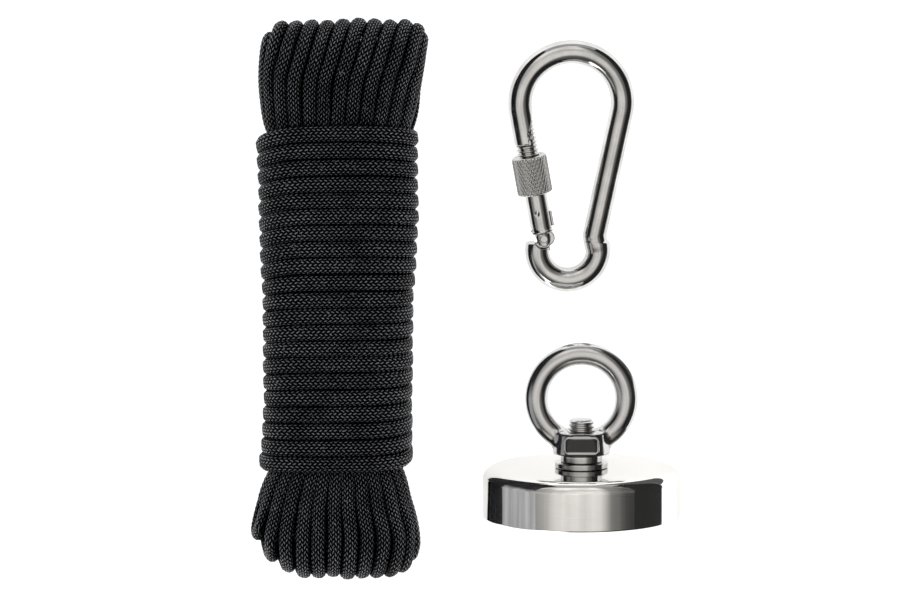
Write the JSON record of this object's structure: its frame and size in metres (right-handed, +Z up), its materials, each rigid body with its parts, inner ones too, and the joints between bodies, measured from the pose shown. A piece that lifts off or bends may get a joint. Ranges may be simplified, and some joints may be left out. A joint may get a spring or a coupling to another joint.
{
  "type": "magnet fishing magnet",
  "caption": "Magnet fishing kit: round pot magnet with a screwed-on eye nut, a screw gate carabiner and a wrapped hank of braided rope.",
  "frame": {"origin": "middle of the kit's footprint, on the surface that it rests on", "axes": "+Z up, +Y along the magnet's axis from its magnetic face towards its eye, and along the rope hank, +X from the hank towards the magnet and the carabiner"},
  "size_m": [0.1312, 0.1726, 0.06],
  "materials": {
    "nickel_plate": "mirror nickel plate",
    "stainless": "polished stainless steel",
    "spring_steel": "satin",
    "magnet": "satin nickel on sintered neodymium",
    "resin": "cast epoxy",
    "rope": "braided cord"
  },
  "bodies": {
    "magnet": {"pot_shell": "nickel_plate", "ring_magnet": "magnet", "outer_resin_ring": "resin", "inner_resin_ring": "resin", "center_bush": "nickel_plate", "screw_stud": "nickel_plate"},
    "washers": {"flat_washer": "nickel_plate", "spring_washer": "nickel_plate"},
    "eye_nut": {"eye_nut": "nickel_plate"},
    "hook": {"hook_body": "stainless", "hinge_pin": "stainless"},
    "gate": {"gate": "stainless", "latch_pin": "stainless", "gate_spring": "spring_steel"},
    "plunger": {"spring_plunger": "spring_steel"},
    "sleeve": {"lock_sleeve": "stainless"},
    "rope": {"rope_hank": "rope"}
  },
  "joints": [
    {"name": "eye_nut_travel", "type": "slide", "parent": "magnet", "child": "washers", "axis": [0, 1, 0], "range_m": [0, 0.0106]},
    {"name": "eye_nut_turn", "type": "hinge", "parent": "washers", "child": "eye_nut", "pos_m": [0.0356, -0.0312, 0.03], "axis": [0, 1, 0], "range_deg": [0, 3052]},
    {"name": "hook_lift", "type": "slide", "parent": "magnet", "child": "hook", "axis": [0, 0, 1], "range_m": [0, 0.08]},
    {"name": "gate_hinge", "type": "hinge", "parent": "hook", "child": "gate", "pos_m": [0.02415, 0.01679, 0.0051], "axis": [-0.0842, 0.0181, -0.9963], "range_deg": [0, 28], "stiffness_Nm_per_rad": 0.05, "springref_deg": -34.38},
    {"name": "plunger_slide", "type": "slide", "parent": "gate", "child": "plunger", "axis": [-0.174, 0.9842, 0.0325], "range_m": [0, 0.00045]},
    {"name": "sleeve_slide", "type": "slide", "parent": "gate", "child": "sleeve", "axis": [-0.174, 0.9842, 0.0325], "range_m": [0, 0.0086]},
    {"name": "rope_lift", "type": "slide", "parent": "magnet", "child": "rope", "axis": [0, 0, 1], "range_m": [0, 0.08]}
  ],
  "couplings": [
    {"joint": "eye_nut_travel", "follows": "eye_nut_turn", "m_per_rad": 0.00019894},
    {"joint": "plunger_slide", "follows": "gate_hinge", "m_per_rad": 0.00086457}
  ]
}
